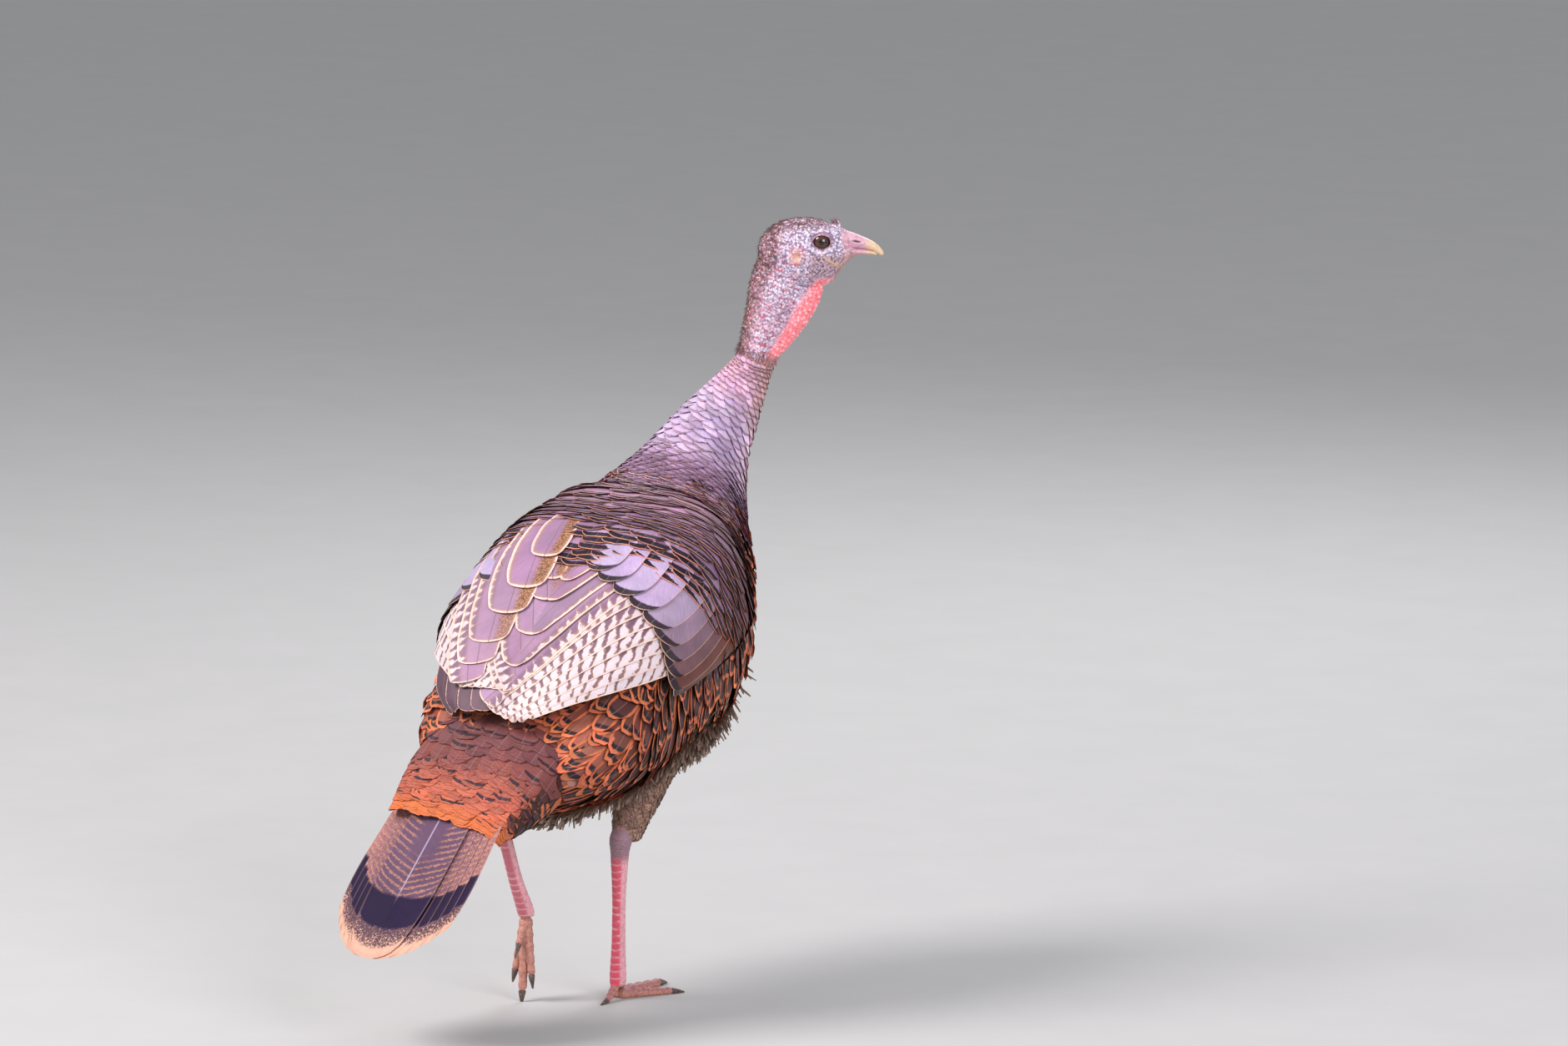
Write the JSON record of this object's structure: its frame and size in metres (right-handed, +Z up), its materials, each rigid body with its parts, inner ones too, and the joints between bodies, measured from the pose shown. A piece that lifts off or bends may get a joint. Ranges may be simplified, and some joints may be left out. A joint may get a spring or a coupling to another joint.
{
  "type": "wild turkey",
  "caption": "Life-size wild turkey hen standing in mid-step on one foot, wings folded, tail lowered, neck raised and head turned to its right.",
  "frame": {"origin": "on the floor under the middle of the bird's bounding box", "axes": "+Y the way the body faces, +X the bird's right, +Z up; the head is turned from +Y towards +X"},
  "size_m": [0.3035, 0.6234, 0.767],
  "materials": {
    "body_feather": "small overlapping feathers, brown with black bands and buff or rufous edges",
    "flight_feather": "long smooth vanes, grey-brown barred with white on the wings and chestnut barred with black on the tail",
    "bare_skin": "bare wrinkled skin, grey-blue and pink with a red throat",
    "bill": "smooth horn",
    "claw": "smooth dark horn",
    "leg_scale": "pinkish scales",
    "eye": "wet and dark brown"
  },
  "bodies": {
    "root": {"head": "bare_skin", "eye_right": "eye", "eye_left": "eye", "bill_upper": "bill", "bill_lower": "bill", "snood": "bare_skin", "throat_flap": "bare_skin", "neck_bare": "bare_skin", "neck_feathered": "body_feather", "wing_coverts_right": "body_feather", "wing_secondaries_right": "flight_feather", "wing_primaries_right": "flight_feather", "wing_coverts_left": "body_feather", "wing_secondaries_left": "flight_feather", "wing_primaries_left": "flight_feather", "tail_feathers": "flight_feather", "tail_coverts": "body_feather", "thigh_right": "body_feather", "shank_right": "leg_scale", "toe_inner_right": "leg_scale", "claw_inner_right": "claw", "toe_middle_right": "leg_scale", "claw_middle_right": "claw", "toe_outer_right": "leg_scale", "claw_outer_right": "claw", "toe_hind_right": "leg_scale", "claw_hind_right": "claw", "thigh_left": "body_feather", "shank_left": "leg_scale", "toe_inner_left": "leg_scale", "claw_inner_left": "claw", "toe_middle_left": "leg_scale", "claw_middle_left": "claw", "toe_outer_left": "leg_scale", "claw_outer_left": "claw", "toe_hind_left": "leg_scale", "claw_hind_left": "claw", "trunk": "body_feather"}
  },
  "joints": []
}
